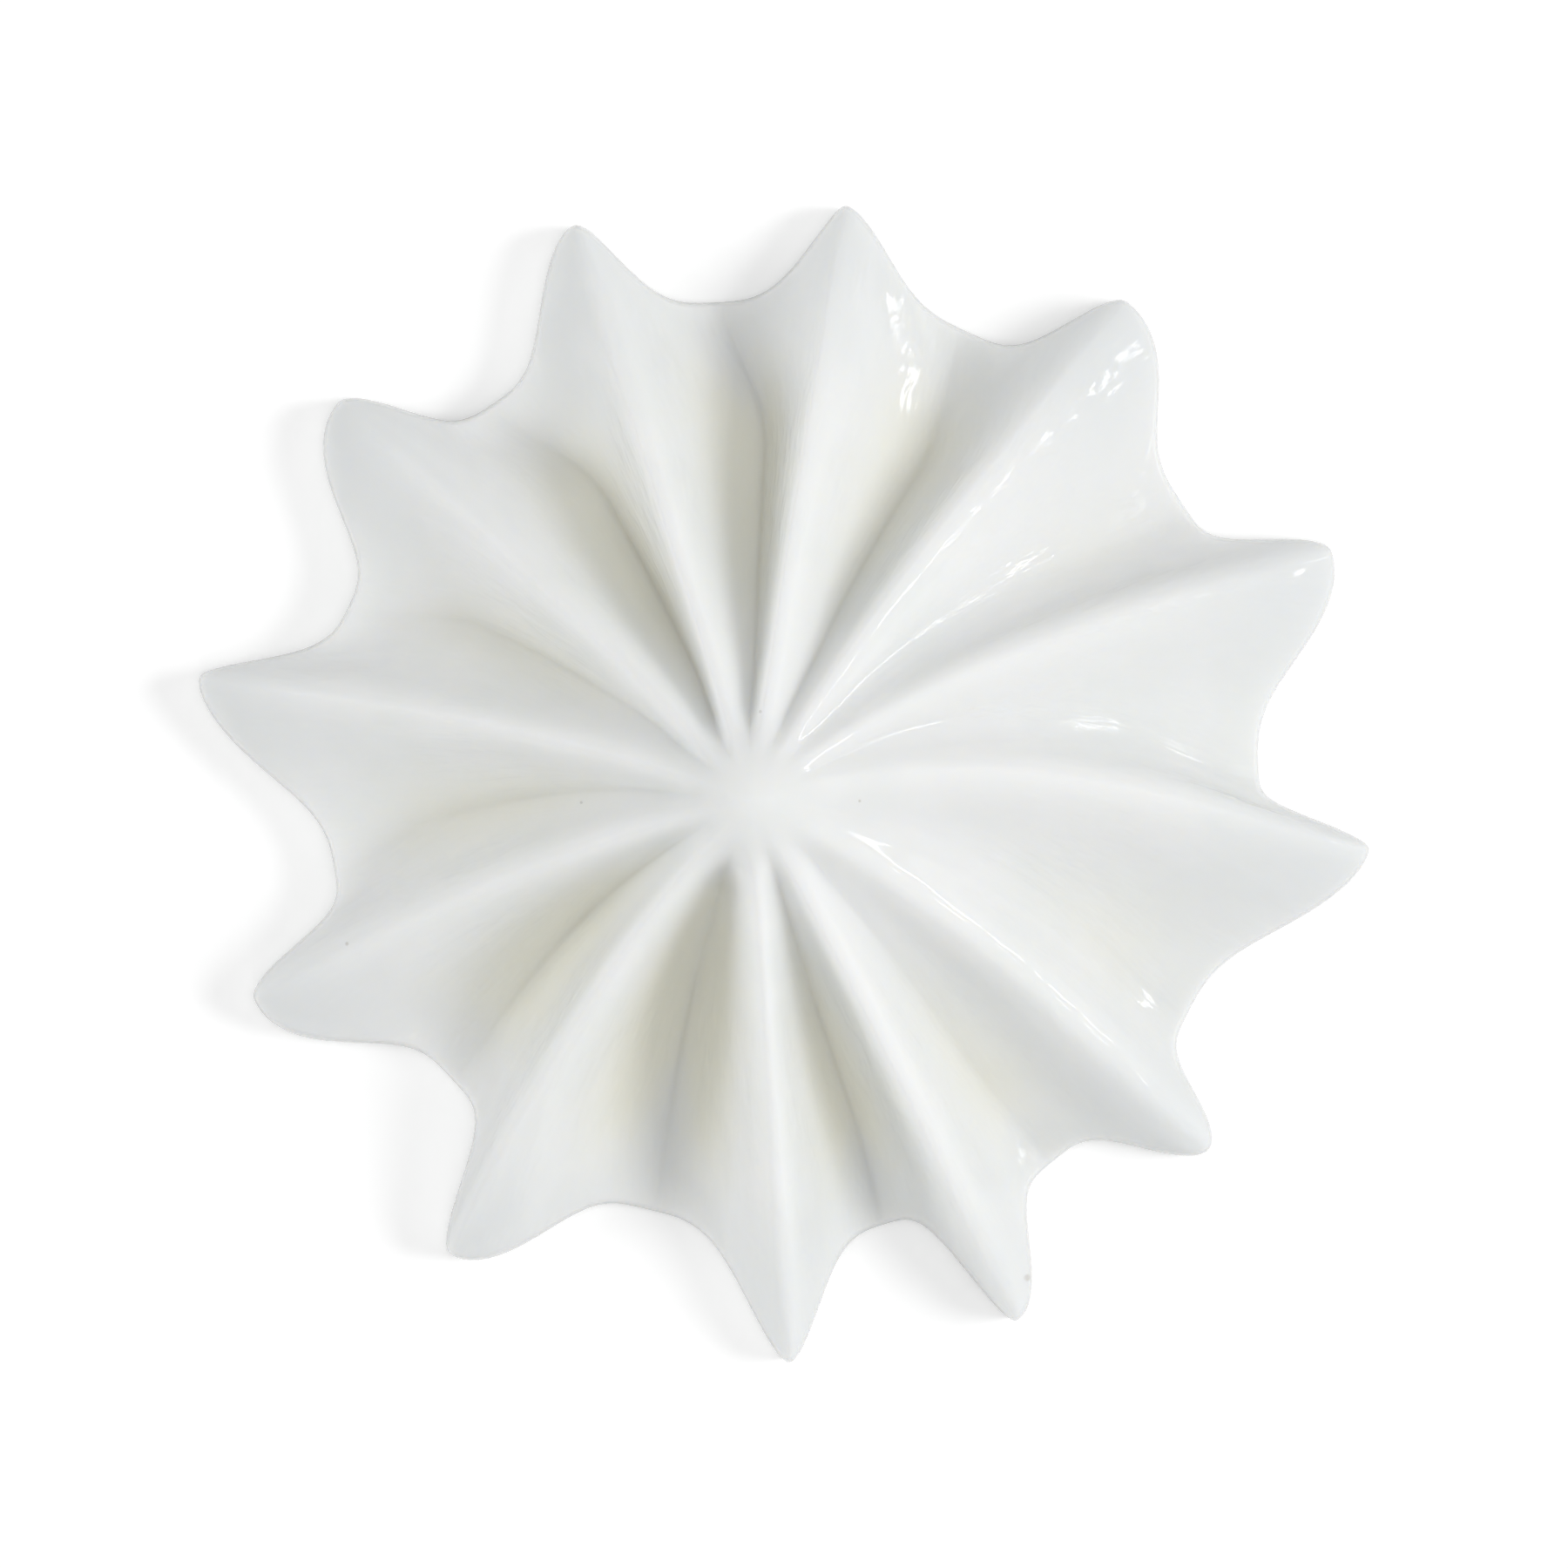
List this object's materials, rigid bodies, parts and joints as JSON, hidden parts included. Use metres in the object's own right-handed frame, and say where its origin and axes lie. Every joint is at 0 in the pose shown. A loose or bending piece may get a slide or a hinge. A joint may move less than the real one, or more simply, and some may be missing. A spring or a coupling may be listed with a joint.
{
  "type": "carved meringue ornament",
  "caption": "Meringue star carved in milky white stone: pinched ribs and hollow flutes fan out from a low rounded peak to a rim of blunt horns; flat back.",
  "frame": {"origin": "on the flat back, at the middle of the outline's box; the peak stands 0.9 mm to -X and 0.4 mm to -Y of it", "axes": "+Z out of the back towards the peak, +Y towards the top of the star as it is shown, +X to its right"},
  "size_m": [0.032, 0.0316, 0.0095],
  "materials": {
    "milky_stone": "polished"
  },
  "bodies": {
    "root": {"meringue_star": "milky_stone"}
  },
  "joints": []
}
